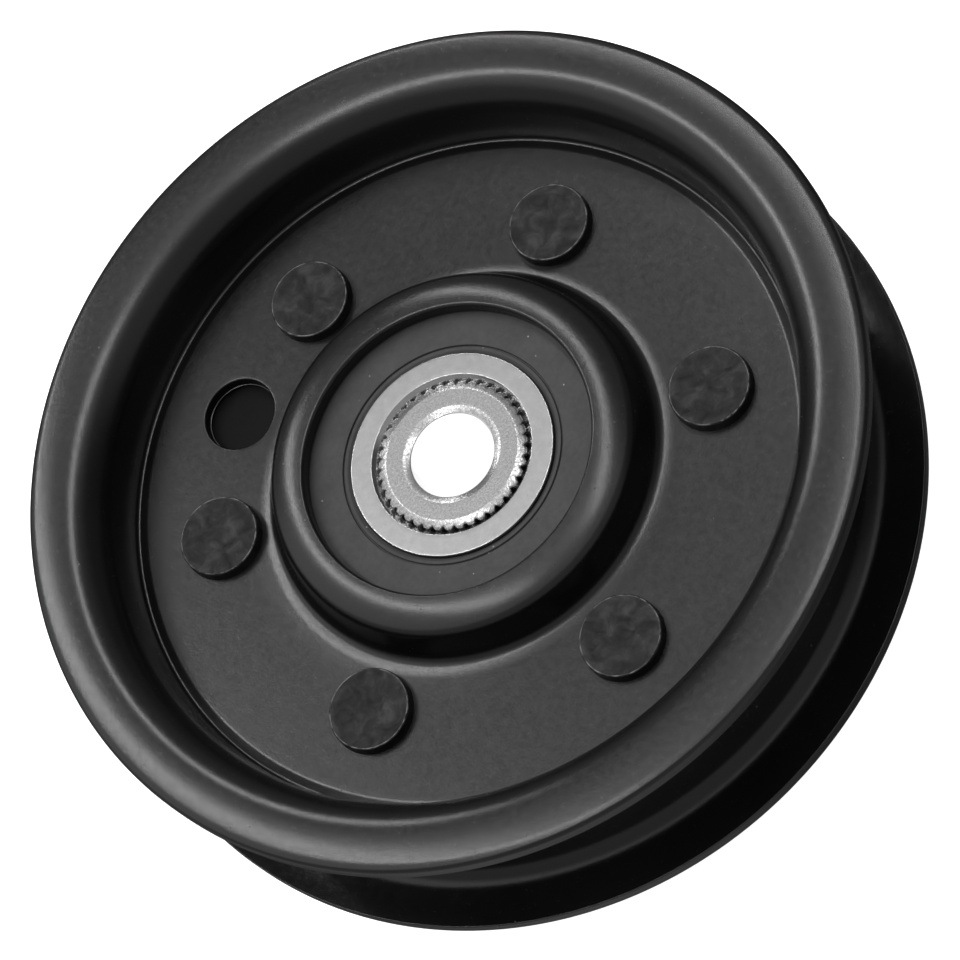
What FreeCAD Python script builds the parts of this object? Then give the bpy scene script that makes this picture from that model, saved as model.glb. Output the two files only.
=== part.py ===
"""Flat belt idler pulley: two riveted steel half-sheaves around a sealed 6203-size ball bearing.

Millimetres.  The origin is the bearing's centre, on the plane where the two halves meet.
+Z is the spin axis and points out of the front face, the side with the serrated sleeve collar.
"""
import FreeCAD, Part
import math
import os

# ---------------------------------------------------------------- driving dimensions
# pressed half-sheaves
SHEET = 2.0                 # steel sheet thickness
FLANGE_R = 50.8             # flange outer radius, 4 in outside diameter
FRONT_HALF_WIDTH = 11.6     # plane where the halves meet to the crown of the front flange
REAR_HALF_WIDTH = 13.2      # and to that of the rear flange, which is drawn deeper
CROWN_R = 48.2              # radius of the crown
CROWN_BEND_R = 12.0         # soft bend at the crown
FLANGE_LEAN = 9.0           # degrees that the flange rises towards the crown
FLANGE_FALL = 3.0           # degrees that it falls from there to its edge
FLANGE_EDGE_R = 1.3         # rolled front edge left by the blanking die
WALL_R = 41.3               # recess wall radius at the web
WALL_DRAFT = 6.0            # degrees that the recess wall opens towards the flange
FLANGE_BEND_R = 4.6         # bend between recess wall and flange, on the recess side
FLANGE_BACK_EDGE_R = 0.15
WEB_STEP_R = 40.0           # where the web starts to dip towards the recess wall
WEB_STEP = 0.38             # depth of that dip
WEB_STEP_BEND_R = 1.5
WALL_FOOT_R = 0.35          # bend where the web turns up into the recess wall
SEAM_EDGE_R = 1.2           # rounded edge where the two drums meet
HUB_R = 22.1                # outer radius of the hub, under its shoulder
HUB_DRAFT = 15.0            # degrees that the hub's side opens towards the web
HUB_CREST_Z = 7.9           # height of the hub's crest over the plane where the halves meet
HUB_CREST_TURN_R = 19.8     # radius where the crest's flat top would meet its shoulder
HUB_CREST_R = 7.6           # soft bend of the crest
HUB_SHOULDER_LEAN = 27.0    # degrees that the shoulder slopes down
HUB_SHOULDER_R = 1.6        # bend from the shoulder into the hub's side
HUB_FILLET_R = 1.6          # fillet between hub and web
HUB_FOOT_R = 25.0           # where the foot of that fillet would meet the web
HUB_FOOT_LEAN = 7.0         # degrees that the foot slopes
HUB_FOOT_BEND_R = 7.0
HUB_MOUTH_R = 3.6           # bend on the bearing side, where the web turns up into the hub
HUB_SEAT_R = 1.0            # corner that the bearing's edge sits in
LIP_R = 17.5                # inner radius of the lip that keeps the bearing in
LIP_EDGE_R = 0.45
LIP_BACK_EDGE_R = 0.2
TOOLING_HOLE_R = 4.4
TOOLING_HOLE_ANGLE = 120.0  # degrees from +X

# rivets that clamp the halves together
RIVET_COUNT = 6
RIVET_PITCH_R = 30.4
RIVET_FIRST_ANGLE = 30.0
RIVET_HEAD_R = 4.9
RIVET_HEAD_H = 1.4
RIVET_SHANK_R = 3.0
RIVET_EDGE_R = 0.25

# ball bearing, 6203 size
BEARING_R = 20.0
BEARING_BORE_R = 8.5
BEARING_HALF = 6.0
BALL_COUNT = 8
BALL_R = 6.747 / 2
BALL_PITCH_R = 14.25
GROOVE_R = 1.04 * BALL_R    # raceway groove, slightly open around the ball
BALL_GAP = 0.05             # clearance between a ball and each race
INNER_LAND_R = 12.36
OUTER_LAND_R = 16.5
RACE_CORNER_R = 1.1         # outer race's outside edges
RACE_EDGE_R = 0.08          # broken edges of the inner race's ground face
BORE_CORNER_WIDE = 1.3      # corner relief of the inner race's bore, radial
BORE_CORNER_DEEP = 1.6      # and axial

# rubber seals with a steel core
SEAL_FACE_Z = 5.8
SEAL_BACK_Z = 4.5
SEAL_R = 17.9
SEAL_BEAD_R = 18.3          # bead that snaps into the outer race
SEAL_BEAD_TOP_Z = 5.3
SEAL_BEAD_SLOPE = 0.12
SEAL_SEAT_GAP = 0.05
SEAL_LINE_R = 13.4          # outer edge of the fine moulded line around the lip
SEAL_LINE_WIDE = 0.12
SEAL_LINE_DEEP = 0.3
SEAL_LIP_DROP = 0.35        # how far the lip slopes down to the inner race
LIP_GROOVE_R = 11.6         # floor of the groove in the inner race where the seal lip runs
LIP_GROOVE_FLOOR = (4.5, 5.1)
LIP_GROOVE_MOUTH = (4.1, 5.3)
RUNNING_GAP = 0.1
SEAL_CORE = (13.7, 17.5, 4.95, 5.35)    # inner and outer radius, low and high face

# ball cage of two pressed ribbons
CAGE_IN_R = 12.75
CAGE_OUT_R = 16.1
CAGE_SHEET = 0.6
POCKET_R = BALL_R + 0.1
CAGE_RIVET_R = 0.55
CAGE_RIVET_HEAD_R = 0.95
CAGE_RIVET_HEAD_H = 0.3

# sleeve that reduces the bearing bore to the bolt
BOLT_HOLE_R = 5.1
SLEEVE_HALF = 5.9
SLEEVE_MOUTH_R = 5.97       # outer radius of the chamfer at the bolt hole's mouth
SLEEVE_MOUTH_DEEP = 0.25
SLEEVE_LEAD_IN = 0.5        # chamfer at the rear end, where the sleeve is pressed in
COLLAR_TEETH = 41
COLLAR_TIP_R = 9.07
COLLAR_ROOT_R = 8.7
COLLAR_FACE_R = 8.08        # flat front face, before the collar's chamfer
COLLAR_CHAMFER_DEEP = 0.3
TOOTH_TIP_SHARE = 0.24      # share of a tooth's pitch that is flat at its tip

# ---------------------------------------------------------------- helpers
AXIS = FreeCAD.Vector(0, 0, 1)
ORIGIN = FreeCAD.Vector(0, 0, 0)


def section_point(r, z):
    return FreeCAD.Vector(r, 0, z)


def rounded_outline(corners):
    """Closed wire in the XZ plane; each corner is (r, z, fillet radius)."""
    count = len(corners)
    points = [section_point(r, z) for r, z, _ in corners]
    starts, ends, middles = [], [], []
    for i, (_, _, radius) in enumerate(corners):
        corner = points[i]
        back = (points[i - 1] - corner).normalize()
        ahead = (points[(i + 1) % count] - corner).normalize()
        half_angle = back.getAngle(ahead) / 2
        reach = radius / math.tan(half_angle)
        bisector = (back + ahead).normalize()
        starts.append(corner + back * reach)
        ends.append(corner + ahead * reach)
        middles.append(corner + bisector * (radius / math.sin(half_angle) - radius))
    edges = []
    for i in range(count):
        if corners[i][2] > 0:
            edges.append(Part.Arc(starts[i], middles[i], ends[i]).toShape())
        following = starts[(i + 1) % count]
        run = points[(i + 1) % count] - points[i]
        if (following - ends[i]).dot(run) < -1e-6:
            raise ValueError(f"fillets {i} and {i + 1} of an outline overlap")
        if ends[i].distanceToPoint(following) > 1e-6:
            edges.append(Part.LineSegment(ends[i], following).toShape())
    return Part.Wire(edges)


def turned(corners):
    """Solid of revolution about Z from an outline of (r, z, fillet radius) corners."""
    return Part.Face(rounded_outline(corners)).revolve(ORIGIN, AXIS, 360)


def around_z(shape, angle):
    copy = shape.copy()
    copy.rotate(ORIGIN, AXIS, angle)
    return copy


def turned_over(shape):
    """The same piece turned over about the X axis, for the rear side."""
    copy = shape.copy()
    copy.rotate(ORIGIN, FreeCAD.Vector(1, 0, 0), 180)
    return copy


def ring(inner_r, outer_r, low, high):
    base = FreeCAD.Vector(0, 0, low)
    outer = Part.makeCylinder(outer_r, high - low, base)
    return outer.cut(Part.makeCylinder(inner_r, high - low, base))


def flange_lines(half_width, offset):
    """Height at the axis and slope of the flange's rising and falling lines, moved inwards."""
    lean = math.radians(FLANGE_LEAN)
    fall = math.radians(FLANGE_FALL)
    bend_takes = CROWN_BEND_R * (math.cos((lean - fall) / 2) / math.cos((lean + fall) / 2) - 1)
    crown_z = half_width + bend_takes
    rising = crown_z - offset / math.cos(lean) - CROWN_R * math.tan(lean), math.tan(lean)
    falling = crown_z - offset / math.cos(fall) + CROWN_R * math.tan(fall), -math.tan(fall)
    return rising, falling


def flange_root(half_width, offset):
    """Where the recess wall line meets the rising flange line, both moved to the belt side."""
    draft = math.radians(WALL_DRAFT)
    (height, slope), _ = flange_lines(half_width, offset)
    wall_r0 = WALL_R + offset / math.cos(draft) - SHEET * math.tan(draft)
    r = (wall_r0 + height * math.tan(draft)) / (1 - slope * math.tan(draft))
    return r, height + r * slope


def flange_crown(half_width, offset):
    (rising_z, rising), (falling_z, falling) = flange_lines(half_width, offset)
    r = (falling_z - rising_z) / (rising - falling)
    return r, rising_z + r * rising


def flange_rim(half_width, offset):
    _, (height, slope) = flange_lines(half_width, offset)
    return FLANGE_R, height + FLANGE_R * slope


def hub_corners():
    """Height where the hub's shoulder meets its side, and where the side meets the foot."""
    shoulder_z = HUB_CREST_Z - (HUB_R - HUB_CREST_TURN_R) * math.tan(math.radians(HUB_SHOULDER_LEAN))
    opening = math.tan(math.radians(HUB_DRAFT))
    slope = math.tan(math.radians(HUB_FOOT_LEAN))
    side_r0 = HUB_R + shoulder_z * opening
    foot_z0 = SHEET + HUB_FOOT_R * slope
    foot_r = (side_r0 - foot_z0 * opening) / (1 - slope * opening)
    return shoulder_z, (foot_r, foot_z0 - foot_r * slope)


# ---------------------------------------------------------------- pieces
def sheave_half(half_width):
    """Pressing for the front side: bearing hub with lip, web, recess wall, drum and flange."""
    drum_r = WALL_R + SHEET
    shoulder_z, foot = hub_corners()
    half = turned([
        (LIP_R, HUB_CREST_Z, LIP_EDGE_R),
        (HUB_CREST_TURN_R, HUB_CREST_Z, HUB_CREST_R),
        (HUB_R, shoulder_z, HUB_SHOULDER_R),
        (*foot, HUB_FILLET_R),
        (HUB_FOOT_R, SHEET, HUB_FOOT_BEND_R),
        (WEB_STEP_R, SHEET, WEB_STEP_BEND_R),
        (WALL_R, SHEET - WEB_STEP, WALL_FOOT_R),
        (*flange_root(half_width, 0), FLANGE_BEND_R),
        (*flange_crown(half_width, 0), CROWN_BEND_R),
        (*flange_rim(half_width, 0), FLANGE_EDGE_R),
        (*flange_rim(half_width, SHEET), FLANGE_BACK_EDGE_R),
        (*flange_crown(half_width, SHEET), CROWN_BEND_R - SHEET),
        (*flange_root(half_width, SHEET), FLANGE_BEND_R - SHEET),
        (drum_r, 0, SEAM_EDGE_R),
        (BEARING_R, 0, HUB_MOUTH_R),
        (BEARING_R, BEARING_HALF, HUB_SEAT_R),
        (LIP_R, BEARING_HALF, LIP_BACK_EDGE_R),
    ])
    shank = Part.makeCylinder(RIVET_SHANK_R, SHEET, FreeCAD.Vector(RIVET_PITCH_R, 0, 0))
    for i in range(RIVET_COUNT):
        half = half.cut(around_z(shank, RIVET_FIRST_ANGLE + i * 360 / RIVET_COUNT))
    hole = Part.makeCylinder(TOOLING_HOLE_R, SHEET, FreeCAD.Vector(RIVET_PITCH_R, 0, 0))
    return half.cut(around_z(hole, TOOLING_HOLE_ANGLE))


def rivet(angle):
    """Flat-headed rivet with the same head on both sides."""
    top = SHEET + RIVET_HEAD_H
    body = turned([
        (0, top, 0),
        (RIVET_HEAD_R, top, RIVET_EDGE_R),
        (RIVET_HEAD_R, SHEET, 0),
        (RIVET_SHANK_R, SHEET, 0),
        (RIVET_SHANK_R, -SHEET, 0),
        (RIVET_HEAD_R, -SHEET, 0),
        (RIVET_HEAD_R, -top, RIVET_EDGE_R),
        (0, -top, 0),
    ])
    body.translate(FreeCAD.Vector(RIVET_PITCH_R, 0, 0))
    return around_z(body, angle)


def outer_race():
    seat_r = SEAL_R + SEAL_SEAT_GAP
    bead_r = SEAL_BEAD_R + SEAL_SEAT_GAP
    half = [
        (OUTER_LAND_R, SEAL_BACK_Z, 0),
        (bead_r, SEAL_BACK_Z, 0),
        (bead_r, SEAL_BEAD_TOP_Z, 0),
        (seat_r, SEAL_BEAD_TOP_Z + SEAL_BEAD_SLOPE, 0),
        (seat_r, BEARING_HALF, 0),
        (BEARING_R, BEARING_HALF, RACE_CORNER_R),
    ]
    mirrored = [(r, -z, radius) for r, z, radius in reversed(half)]
    body = turned(half + mirrored)
    groove_centre = BALL_PITCH_R + BALL_R + BALL_GAP - GROOVE_R
    return body.cut(Part.makeTorus(groove_centre, GROOVE_R))


def inner_race():
    corner_z = BEARING_HALF - BORE_CORNER_DEEP
    floor_low, floor_high = LIP_GROOVE_FLOOR
    mouth_low, mouth_high = LIP_GROOVE_MOUTH
    half = [
        (BEARING_BORE_R, corner_z, 0),
        (BEARING_BORE_R + BORE_CORNER_WIDE, BEARING_HALF, RACE_EDGE_R),
        (INNER_LAND_R, BEARING_HALF, RACE_EDGE_R),
        (INNER_LAND_R, mouth_high, 0),
        (LIP_GROOVE_R, floor_high, 0),
        (LIP_GROOVE_R, floor_low, 0),
        (INNER_LAND_R, mouth_low, 0),
    ]
    mirrored = [(r, -z, radius) for r, z, radius in reversed(half)]
    body = turned(half + mirrored)
    groove_centre = BALL_PITCH_R - BALL_R - BALL_GAP + GROOVE_R
    return body.cut(Part.makeTorus(groove_centre, GROOVE_R))


def ball(angle):
    body = Part.makeSphere(BALL_R, FreeCAD.Vector(BALL_PITCH_R, 0, 0))
    return around_z(body, angle)


def cage_half():
    """Front ribbon: a flat ring with eight half-round pockets and eight rivet holes."""
    body = ring(CAGE_IN_R, CAGE_OUT_R, 0, CAGE_SHEET)
    pocket_outer_r = POCKET_R + CAGE_SHEET
    limits = ring(CAGE_IN_R, CAGE_OUT_R, 0, pocket_outer_r)
    centre = FreeCAD.Vector(BALL_PITCH_R, 0, 0)
    shell = Part.makeSphere(pocket_outer_r, centre).common(limits)
    pocket = Part.makeSphere(POCKET_R, centre)
    hole_base = FreeCAD.Vector(BALL_PITCH_R, 0, 0)
    hole = around_z(Part.makeCylinder(CAGE_RIVET_R, CAGE_SHEET, hole_base), 180 / BALL_COUNT)
    for i in range(BALL_COUNT):
        body = body.fuse(around_z(shell, i * 360 / BALL_COUNT))
    for i in range(BALL_COUNT):
        body = body.cut(around_z(pocket, i * 360 / BALL_COUNT))
        body = body.cut(around_z(hole, i * 360 / BALL_COUNT))
    return body.removeSplitter()


def cage_rivets():
    """Eight small rivets that join the two cage ribbons, one between each pair of balls."""
    head_z = CAGE_SHEET + CAGE_RIVET_HEAD_H
    head_r = CAGE_RIVET_HEAD_R
    rivet_body = turned([
        (0, head_z, 0),
        (head_r, head_z, 0.15),
        (head_r, CAGE_SHEET, 0),
        (CAGE_RIVET_R, CAGE_SHEET, 0),
        (CAGE_RIVET_R, -CAGE_SHEET, 0),
        (head_r, -CAGE_SHEET, 0),
        (head_r, -head_z, 0.15),
        (0, -head_z, 0),
    ])
    rivet_body.translate(FreeCAD.Vector(BALL_PITCH_R, 0, 0))
    angles = [(i + 0.5) * 360 / BALL_COUNT for i in range(BALL_COUNT)]
    return Part.Compound([around_z(rivet_body, angle) for angle in angles])


def seal_core():
    inner_r, outer_r, low, high = SEAL_CORE
    return ring(inner_r, outer_r, low, high)


def seal():
    """Front rubber seal: bead in the outer race, flat cover, lip that runs on the inner race."""
    edge_r = INNER_LAND_R + RUNNING_GAP
    tip_r = LIP_GROOVE_R + RUNNING_GAP
    groove_low, groove_high = LIP_GROOVE_FLOOR
    tip_low, tip_high = groove_low + 0.2, groove_high - 0.15
    line_in = SEAL_LINE_R - SEAL_LINE_WIDE
    line_floor = SEAL_FACE_Z - SEAL_LINE_DEEP
    lip_shoulder_r = SEAL_LINE_R - 0.45
    body = turned([
        (SEAL_BEAD_R, SEAL_BACK_Z, 0),
        (SEAL_BEAD_R, SEAL_BEAD_TOP_Z, 0),
        (SEAL_R, SEAL_BEAD_TOP_Z + SEAL_BEAD_SLOPE, 0),
        (SEAL_R, SEAL_FACE_Z, 0.1),
        (SEAL_LINE_R + 0.05, SEAL_FACE_Z, 0.04),
        (SEAL_LINE_R, line_floor, 0),
        (line_in, line_floor, 0),
        (line_in - 0.08, SEAL_FACE_Z - 0.05, 0),
        (lip_shoulder_r, SEAL_FACE_Z - 0.1, 0.05),
        (edge_r, SEAL_FACE_Z - SEAL_LIP_DROP, 0),
        (edge_r, tip_high + 0.25, 0),
        (tip_r, tip_high, 0),
        (tip_r, tip_low, 0),
        (lip_shoulder_r, tip_low, 0),
        (SEAL_LINE_R + 0.1, SEAL_BACK_Z, 0),
    ])
    return body.cut(seal_core())


def collar_outline():
    """Serration profile: flat-tipped V teeth around the sleeve's collar."""
    pitch = 2 * math.pi / COLLAR_TEETH
    flat = pitch * TOOTH_TIP_SHARE / 2
    points = []
    for i in range(COLLAR_TEETH):
        middle = i * pitch
        for r, angle in ((COLLAR_ROOT_R, middle - pitch / 2),
                         (COLLAR_TIP_R, middle - flat),
                         (COLLAR_TIP_R, middle + flat)):
            points.append(FreeCAD.Vector(r * math.cos(angle), r * math.sin(angle), 0))
    return Part.makePolygon(points + points[:1])


def bolt_sleeve():
    """Press-fit sleeve whose serrated front collar seats in the inner race's corner."""
    cone_slope = BORE_CORNER_WIDE / BORE_CORNER_DEEP
    seat_z = BEARING_HALF - BORE_CORNER_DEEP + (COLLAR_TIP_R - BEARING_BORE_R) / cone_slope
    body = turned([
        (BOLT_HOLE_R, SLEEVE_HALF - SLEEVE_MOUTH_DEEP, 0),
        (SLEEVE_MOUTH_R, SLEEVE_HALF, 0),
        (COLLAR_FACE_R, SLEEVE_HALF, 0),
        (COLLAR_FACE_R, seat_z, 0),
        (BEARING_BORE_R, seat_z, 0),
        (BEARING_BORE_R, -SLEEVE_HALF + SLEEVE_LEAD_IN, 0),
        (BEARING_BORE_R - SLEEVE_LEAD_IN, -SLEEVE_HALF, 0),
        (SLEEVE_MOUTH_R, -SLEEVE_HALF, 0),
        (BOLT_HOLE_R, -SLEEVE_HALF + SLEEVE_MOUTH_DEEP, 0),
    ])
    teeth = Part.Face(collar_outline()).extrude(AXIS * (SLEEVE_HALF - seat_z))
    teeth.translate(AXIS * seat_z)
    clear_r = COLLAR_TIP_R + 0.01
    chamfer_envelope = turned([
        (SLEEVE_MOUTH_R, seat_z, 0),
        (SLEEVE_MOUTH_R, SLEEVE_HALF, 0),
        (COLLAR_FACE_R, SLEEVE_HALF, 0),
        (clear_r, SLEEVE_HALF - COLLAR_CHAMFER_DEEP, 0),
        (clear_r, seat_z, 0),
    ])
    return body.fuse(teeth.common(chamfer_envelope)).removeSplitter()


# ---------------------------------------------------------------- write the pieces
def main():
    front_seal = seal()
    front_core = seal_core()
    front_cage = cage_half()
    nodes = {
        "front_sheave_half": sheave_half(FRONT_HALF_WIDTH),
        "rear_sheave_half": turned_over(sheave_half(REAR_HALF_WIDTH)),
        "outer_race": outer_race(),
        "inner_race": inner_race(),
        "cage_front": front_cage,
        "cage_rear": turned_over(front_cage),
        "cage_rivets": cage_rivets(),
        "front_seal": front_seal,
        "front_seal_core": front_core,
        "rear_seal": turned_over(front_seal),
        "rear_seal_core": turned_over(front_core),
        "bolt_sleeve": bolt_sleeve(),
    }
    for i in range(RIVET_COUNT):
        nodes[f"rivet_{i + 1}"] = rivet(RIVET_FIRST_ANGLE + i * 360 / RIVET_COUNT)
    for i in range(BALL_COUNT):
        nodes[f"ball_{i + 1}"] = ball(i * 360 / BALL_COUNT)
    os.makedirs("parts", exist_ok=True)
    for name, shape in nodes.items():
        shape.exportStep(f"parts/{name}.step")
        print(f"{name:18s} solids {len(shape.Solids)} valid {shape.isValid()} volume {shape.Volume:9.1f}")


main()
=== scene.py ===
"""Flat belt idler pulley: the visible surfaces, materials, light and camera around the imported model.

Lengths are written in millimetres and scaled to metres where a mesh is made.
"""
import math
import random

import bpy
import bmesh
from mathutils import Matrix, Vector, noise


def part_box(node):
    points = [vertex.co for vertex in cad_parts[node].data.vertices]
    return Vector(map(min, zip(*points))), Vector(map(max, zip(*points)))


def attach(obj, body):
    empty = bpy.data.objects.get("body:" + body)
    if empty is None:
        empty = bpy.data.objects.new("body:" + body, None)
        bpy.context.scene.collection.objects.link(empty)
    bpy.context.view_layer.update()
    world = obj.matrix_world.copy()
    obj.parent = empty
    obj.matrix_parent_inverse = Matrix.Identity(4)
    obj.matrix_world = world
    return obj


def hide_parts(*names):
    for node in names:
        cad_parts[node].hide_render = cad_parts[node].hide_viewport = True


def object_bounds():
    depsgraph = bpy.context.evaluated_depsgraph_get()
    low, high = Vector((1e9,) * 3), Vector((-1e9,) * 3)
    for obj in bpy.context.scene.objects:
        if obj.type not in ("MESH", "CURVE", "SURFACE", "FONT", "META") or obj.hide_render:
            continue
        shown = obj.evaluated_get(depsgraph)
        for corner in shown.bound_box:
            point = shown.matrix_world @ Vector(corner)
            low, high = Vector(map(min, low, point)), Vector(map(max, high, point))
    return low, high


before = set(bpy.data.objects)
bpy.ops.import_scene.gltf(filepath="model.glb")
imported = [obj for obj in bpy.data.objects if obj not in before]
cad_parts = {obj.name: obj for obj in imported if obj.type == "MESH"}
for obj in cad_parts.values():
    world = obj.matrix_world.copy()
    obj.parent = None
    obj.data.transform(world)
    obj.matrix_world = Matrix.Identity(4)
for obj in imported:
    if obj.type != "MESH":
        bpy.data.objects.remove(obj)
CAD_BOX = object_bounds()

MM = 0.001
TOUCH = 0.001               # closer than this counts as the same height
SHARP_ANGLE = math.radians(40)
RUN_STEP = 0.8              # longest run between two points of an outline
FULL_TURN = 2 * math.pi

# ---------------------------------------------------------------- sizes, in millimetres


def size_of(node):
    """Farthest reach of a node from the origin along X, Y and Z."""
    low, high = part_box(node)
    return [max(abs(low[i]), abs(high[i])) / MM for i in range(3)]


def centre_of(node):
    low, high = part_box(node)
    return (low + high) / 2 / MM


FLANGE_R, _, FRONT_HALF_WIDTH = size_of("front_sheave_half")
REAR_HALF_WIDTH = size_of("rear_sheave_half")[2]
BEARING_R, _, BEARING_HALF = size_of("outer_race")
COLLAR_TIP_R, _, SLEEVE_HALF = size_of("bolt_sleeve")
INNER_LAND_R = size_of("inner_race")[0]
RIVET_TOP = size_of("rivet_1")[2]
RIVET_NODES = [f"rivet_{i}" for i in range(1, 7)]
BALL_NODES = [f"ball_{i}" for i in range(1, 9)]

# pressed halves
SHEET = 2.0
CROWN_R = 47.9              # where the flange's rising and falling lines meet
CROWN_BEND_R = 18.0
FLANGE_LEAN = math.radians(5.0)
FLANGE_FALL = math.radians(4.5)
FLANGE_ROLL = math.radians(16.0)        # the sheared edge rolls over before the rim
FLANGE_ROLL_WIDE = 0.9
FLANGE_ROLL_R = 2.2
FLANGE_EDGE_R = 0.6
FLANGE_BEND_R = 4.6
WALL_R = 41.3
WALL_DRAFT = math.radians(6.0)
WEB_STEP_R = 40.0
WEB_STEP = 0.38
HUB_R = 22.1
HUB_CREST_Z = 7.9
HUB_CREST_TURN_R = 19.8
HUB_CREST_R = 7.6
HUB_SHOULDER_LEAN = math.radians(27.0)
HUB_SHOULDER_R = 1.6
HUB_DRAFT = math.radians(15.0)
HUB_FILLET_R = 1.6
HUB_FOOT_R = 25.0
HUB_FOOT_LEAN = math.radians(7.0)
HUB_FOOT_BEND_R = 7.0
LIP_R = 17.5
TOOLING_HOLE_R = 4.4
TOOLING_HOLE_ANGLE = math.radians(120)
TOOLING_HOLE_AT = 30.4
HOLE_PATCH = (4.9, 5.6)                 # reach of its patch of mesh towards hub and rim
HOLE_PATCH_ANGLE = 10.2                 # degrees to either side
HALF_COLUMNS = 432                      # segments around a pressed half
SHEET_WAVE = 0.012                      # unevenness that pressing leaves in the sheet
SHEET_WAVE_SIZE = 14
SOFT_SIDE_ANGLE = math.radians(190)     # the side where the pressing is softest
HUB_FOOT_SPREAD = 0.13
HUB_FOOT_SPREAD_R = 24.5
HUB_FOOT_SPREAD_REACH = 1.4
FLANGE_DROOP = 0.065
FLANGE_DROOP_R = 46.5

# rivet heads
RIVET_HEAD_R = 4.9
RIVET_RIM_R = (4.66, 4.84)              # the raised rim, worn bright
RIVET_DISH = 0.09
RIVET_DISH_R = 4.3
RIVET_GROOVE = 0.04
RIVET_GROOVE_R = 4.15
RIVET_COLUMNS = 120

# ball bearing
BALL_R = 6.747 / 2
BALL_PITCH_R = 14.25
GROOVE_R = 1.04 * BALL_R
GROOVE_CLEARANCE = 0.05
BORE_CORNER_DEEP = 1.6
BORE_CORNER_WIDE = 1.3
BEARING_BORE_R = 8.5
RACE_COLUMNS = 300

# seal
SEAL_FACE_Z = 5.8
SEAL_BACK_Z = 4.5
SEAL_R = 17.9
SEAL_BEAD_R = 18.3
SEAL_LINE_R = 13.4
SEAL_LINE_DEEP = 0.28
SEAL_LIP_DEEP = 0.35
SEAL_COLUMNS = 360

# bolt sleeve
BOLT_HOLE_R = 5.1
SLEEVE_MOUTH_R = 5.97
SLEEVE_MOUTH_DEEP = 0.25
COLLAR_TEETH = 41
COLLAR_ROOT_R = 8.7
COLLAR_FACE_R = 8.08
COLLAR_CHAMFER_DEEP = 0.3
COLUMNS_PER_TOOTH = 16
SLEEVE_EDGE_ROLL = 0.012                # height lost where the front face turns into the chamfer


# ---------------------------------------------------------------- outlines
def arc_points(centre, start, end, step):
    """Points on an arc about centre from start to end, no more than step radians apart."""
    first = math.atan2(start[1] - centre[1], start[0] - centre[0])
    last = math.atan2(end[1] - centre[1], end[0] - centre[0])
    turn = (last - first + math.pi) % FULL_TURN - math.pi
    radius = math.dist(centre, start)
    count = max(2, math.ceil(abs(turn) / step))
    angles = [first + turn * i / count for i in range(count + 1)]
    return [(centre[0] + radius * math.cos(a), centre[1] + radius * math.sin(a)) for a in angles]


def run_points(start, end):
    """Points strictly between start and end; flat runs break at whole multiples of the step."""
    length = math.dist(start, end)
    if length < RUN_STEP:
        return []
    if abs(start[1] - end[1]) < TOUCH:
        low, high = sorted((start[0], end[0]))
        stops = range(math.floor(low / RUN_STEP) + 1, math.ceil(high / RUN_STEP))
        points = [(i * RUN_STEP, start[1]) for i in stops]
        return points if start[0] < end[0] else points[::-1]
    count = math.ceil(length / RUN_STEP)
    return [(start[0] + (end[0] - start[0]) * i / count,
             start[1] + (end[1] - start[1]) * i / count) for i in range(1, count)]


def outline(corners, closed=True, arc_step=math.radians(7)):
    """Points of an outline of (r, z, fillet radius) corners, with its arcs and long runs divided."""
    count = len(corners)
    pieces = []
    for i, (r, z, radius) in enumerate(corners):
        if radius == 0 or (not closed and i in (0, count - 1)):
            pieces.append([(r, z)])
            continue
        corner = Vector((r, z))
        back = (Vector(corners[i - 1][:2]) - corner).normalized()
        ahead = (Vector(corners[(i + 1) % count][:2]) - corner).normalized()
        half_angle = back.angle(ahead) / 2
        reach = radius / math.tan(half_angle)
        centre = corner + (back + ahead).normalized() * radius / math.sin(half_angle)
        pieces.append(arc_points(centre, corner + back * reach, corner + ahead * reach, arc_step))
    points = []
    for i, piece in enumerate(pieces):
        points += piece
        if closed or i < count - 1:
            points += run_points(piece[-1], pieces[(i + 1) % count][0])
    return points


# ---------------------------------------------------------------- meshes
def around(columns):
    """Equally spaced angles around the axis."""
    return [FULL_TURN * i / columns for i in range(columns)]


class Skin:
    """Rings of points, in millimetres, and the faces between them."""

    def __init__(self):
        self.points = []
        self.faces = []

    def ring(self, points):
        first = len(self.points)
        self.points += [tuple(p) for p in points]
        return list(range(first, len(self.points)))

    def circle(self, r, z, columns):
        """A ring about the axis, or one point on it."""
        if r == 0:
            return self.ring([(0, 0, z)])
        return self.ring([(r * math.cos(a), r * math.sin(a), z) for a in around(columns)])

    def bridge(self, a, b, skipped=()):
        """Faces between two closed rings; a ring of one point is the tip of a fan."""
        count = max(len(a), len(b))
        for i in range(count):
            if i in skipped:
                continue
            j = (i + 1) % count
            corners = [a[i % len(a)], a[j % len(a)], b[j % len(b)], b[i % len(b)]]
            self.faces.append(list(dict.fromkeys(corners)))

    def bridge_all(self, rings, closed):
        for a, b in zip(rings, rings[1:]):
            self.bridge(a, b)
        if closed:
            self.bridge(rings[-1], rings[0])

    def turned_over(self):
        """The same skin turned over about the X axis, for a rear piece."""
        other = Skin()
        other.points = [(x, -y, -z) for x, y, z in self.points]
        other.faces = self.faces
        return other

    def waved(self, seed):
        """The same skin with its front surface as uneven as pressing leaves it."""
        other = Skin()
        offset = Vector((seed, 0, 0))
        for x, y, z in self.points:
            share = min(max(z / SHEET, 0), 1)
            wave = noise.noise(Vector((x, y, z)) / SHEET_WAVE_SIZE + offset)
            lift = SHEET_WAVE * share * wave
            lift += share * (hub_foot_spread(x, y, z) - flange_droop(x, y))
            other.points.append((x, y, z + lift))
        other.faces = self.faces
        return other


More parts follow.
